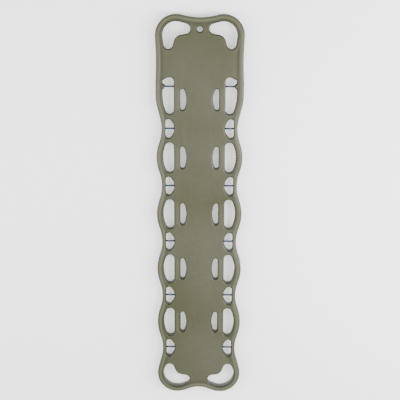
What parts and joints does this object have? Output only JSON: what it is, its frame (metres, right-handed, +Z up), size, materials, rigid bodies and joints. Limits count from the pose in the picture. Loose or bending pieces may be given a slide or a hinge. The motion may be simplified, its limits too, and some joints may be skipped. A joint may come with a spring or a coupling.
{
  "type": "spine board",
  "caption": "Rigid full-length spine board for immobilising and carrying a patient, with scalloped sides, handholds, strap slots and clip pins.",
  "frame": {"origin": "Middle of the bottom face of the bounding box: on the floor under the board's middle.", "axes": "+Z up out of the patient side, +Y towards the head end, +X to the right seen from above with the head end up."},
  "size_m": [0.4058, 1.8289, 0.057],
  "materials": {
    "board_shell": "satin moulded polyethylene, olive drab, fine grain",
    "foam_core": "rigid closed-cell polyurethane foam, pale yellow",
    "clip_pins": "moulded glass-filled nylon, dark teal-blue, semi-gloss",
    "stiffening_rods": "pultruded carbon-fibre rod, black",
    "underside_plugs": "moulded polyethylene plug, olive drab"
  },
  "bodies": {
    "root": {"board_shell": "board_shell", "clip_pin_left_1": "clip_pins", "clip_pin_left_2": "clip_pins", "clip_pin_left_3": "clip_pins", "clip_pin_left_4": "clip_pins", "clip_pin_left_5": "clip_pins", "clip_pin_left_6": "clip_pins", "clip_pin_right_1": "clip_pins", "clip_pin_right_2": "clip_pins", "clip_pin_right_3": "clip_pins", "clip_pin_right_4": "clip_pins", "clip_pin_right_5": "clip_pins", "clip_pin_right_6": "clip_pins", "foam_core": "foam_core", "foam_port_plug": "underside_plugs", "stiffening_rod_left": "stiffening_rods", "stiffening_rod_right": "stiffening_rods", "vent_plug_foot": "underside_plugs", "vent_plug_head": "underside_plugs"}
  },
  "joints": []
}
